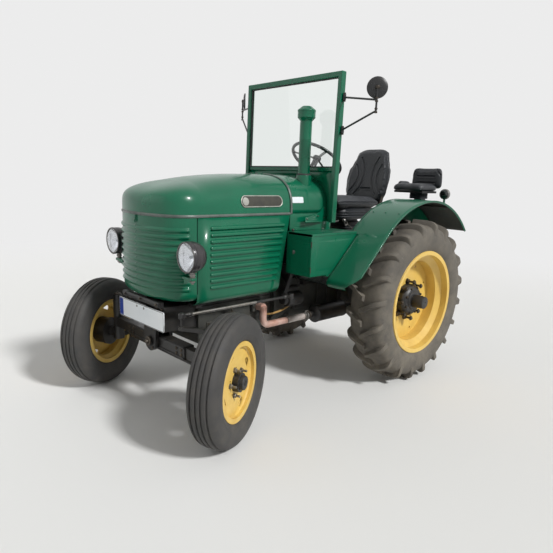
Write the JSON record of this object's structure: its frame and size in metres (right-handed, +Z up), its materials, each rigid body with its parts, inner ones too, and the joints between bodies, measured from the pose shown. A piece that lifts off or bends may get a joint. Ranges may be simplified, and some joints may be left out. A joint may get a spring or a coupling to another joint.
{
  "type": "vintage farm tractor",
  "caption": "Vintage farm tractor with ribbed rounded nose, louvred side panels, windscreen, steered front wheels and large lugged rear wheels.",
  "frame": {"origin": "on the ground, at the middle of the overall length and width", "axes": "+Z up, the tractor faces -Y, its left-hand side is +X"},
  "size_m": [1.7112, 2.7411, 2.1204],
  "materials": {
    "green_paint": "glossy green enamel",
    "yellow_paint": "satin yellow enamel",
    "black_paint": "satin black paint",
    "engine_grey": "dark grey painted casting, oily",
    "front_tyre": "dark ribbed rubber",
    "rear_tyre": "dusty lugged rubber",
    "seat_vinyl": "black vinyl",
    "glass": "clear flat glass",
    "lamp_glass": "ribbed clear glass",
    "red_lens": "red lamp glass",
    "plate_white": "white sheet with a plain blue band",
    "pipe_rust": "heat-stained pipe",
    "bare_steel": "worn bright steel"
  },
  "bodies": {
    "root": {"engine_block": "engine_grey", "transmission": "engine_grey", "front_support": "black_paint", "front_axle": "black_paint", "nose_shell": "green_paint", "side_panels": "green_paint", "cowl": "green_paint", "windscreen_frame": "green_paint", "windscreen_glass": "glass", "intake_stack": "green_paint", "toolbox": "green_paint", "fenders": "green_paint", "floor_plates": "black_paint", "seat_base": "black_paint", "seat_cushion": "seat_vinyl", "seat_back": "seat_vinyl", "side_seat_pads": "seat_vinyl", "side_seat_frame": "black_paint", "headlamp_shells": "black_paint", "headlamp_lenses": "lamp_glass", "number_plate": "plate_white", "exhaust": "pipe_rust", "steering_column": "black_paint", "mirrors": "black_paint", "hitch": "engine_grey", "controls": "bare_steel", "rear_lamps": "red_lens"},
    "bonnet": {"bonnet_lid": "green_paint"},
    "box_door": {"toolbox_door": "green_paint"},
    "hand_wheel": {"steering_wheel": "black_paint"},
    "drop_arm": {"drop_arm": "black_paint"},
    "steering_link": {"drag_link": "bare_steel"},
    "tie_rod": {"tie_rod": "black_paint"},
    "knuckle_left": {"knuckle_left": "black_paint"},
    "knuckle_right": {"knuckle_right": "black_paint"},
    "front_wheel_left": {"front_tyre_left": "front_tyre", "front_rim_left": "yellow_paint", "front_hub_left": "black_paint"},
    "front_wheel_right": {"front_tyre_right": "front_tyre", "front_rim_right": "yellow_paint", "front_hub_right": "black_paint"},
    "rear_wheel_left": {"rear_tyre_left": "rear_tyre", "rear_rim_left": "yellow_paint", "rear_hub_left": "black_paint"},
    "rear_wheel_right": {"rear_tyre_right": "rear_tyre", "rear_rim_right": "yellow_paint", "rear_hub_right": "black_paint"}
  },
  "joints": [
    {"name": "steer_left", "type": "hinge", "parent": "root", "child": "knuckle_left", "pos_m": [0.526, -0.9654, 0.508], "axis": [0, 0, 1], "range_deg": [-64, 12]},
    {"name": "steer_right", "type": "hinge", "parent": "root", "child": "knuckle_right", "pos_m": [-0.526, -0.9654, 0.508], "axis": [0, 0, 1], "range_deg": [-64, 12]},
    {"name": "tie_rod_turn", "type": "hinge", "parent": "knuckle_left", "child": "tie_rod", "pos_m": [0.46244, -0.83508, 0.345], "axis": [0, 0, 1], "range_deg": [-12, 64]},
    {"name": "steering_link_turn", "type": "hinge", "parent": "knuckle_left", "child": "steering_link", "pos_m": [0.38427, -1.05122, 0.7], "axis": [0, 0, 1], "range_deg": [-12, 64]},
    {"name": "drop_arm_swing", "type": "hinge", "parent": "root", "child": "drop_arm", "pos_m": [0.324, -0.1254, 0.86549], "axis": [1, 0, 0], "range_deg": [-12, 58]},
    {"name": "steering_wheel_turn", "type": "hinge", "parent": "root", "child": "hand_wheel", "pos_m": [0, 0.4146, 1.595], "axis": [0, 0.5736, 0.8192], "range_deg": [-900, 170]},
    {"name": "bonnet_hinge", "type": "hinge", "parent": "root", "child": "bonnet", "pos_m": [0, -0.1889, 1.475], "axis": [-1, 0, 0], "range_deg": [0, 55]},
    {"name": "toolbox_door_hinge", "type": "hinge", "parent": "root", "child": "box_door", "pos_m": [0.552, -0.2056, 0.98], "axis": [0, 0, 1], "range_deg": [0, 110]},
    {"name": "front_wheel_left_spin", "type": "hinge", "parent": "knuckle_left", "child": "front_wheel_left", "pos_m": [0.63745, -0.91105, 0.37], "axis": [0.8988, 0.4384, 0], "continuous": true},
    {"name": "front_wheel_right_spin", "type": "hinge", "parent": "knuckle_right", "child": "front_wheel_right", "pos_m": [-0.63745, -1.01976, 0.37], "axis": [0.8988, 0.4384, 0], "continuous": true},
    {"name": "rear_wheel_left_spin", "type": "hinge", "parent": "root", "child": "rear_wheel_left", "pos_m": [0.665, 0.7746, 0.596], "axis": [1, 0, 0], "continuous": true},
    {"name": "rear_wheel_right_spin", "type": "hinge", "parent": "root", "child": "rear_wheel_right", "pos_m": [-0.665, 0.7746, 0.596], "axis": [1, 0, 0], "continuous": true}
  ],
  "couplings": [
    {"joint": "steer_right", "follows": "steer_left", "ratio": 1},
    {"joint": "tie_rod_turn", "follows": "steer_left", "ratio": -1},
    {"joint": "steering_link_turn", "follows": "steer_left", "ratio": -1},
    {"joint": "drop_arm_swing", "follows": "steer_left", "ratio": -0.89},
    {"joint": "steering_wheel_turn", "follows": "steer_left", "ratio": 14}
  ]
}
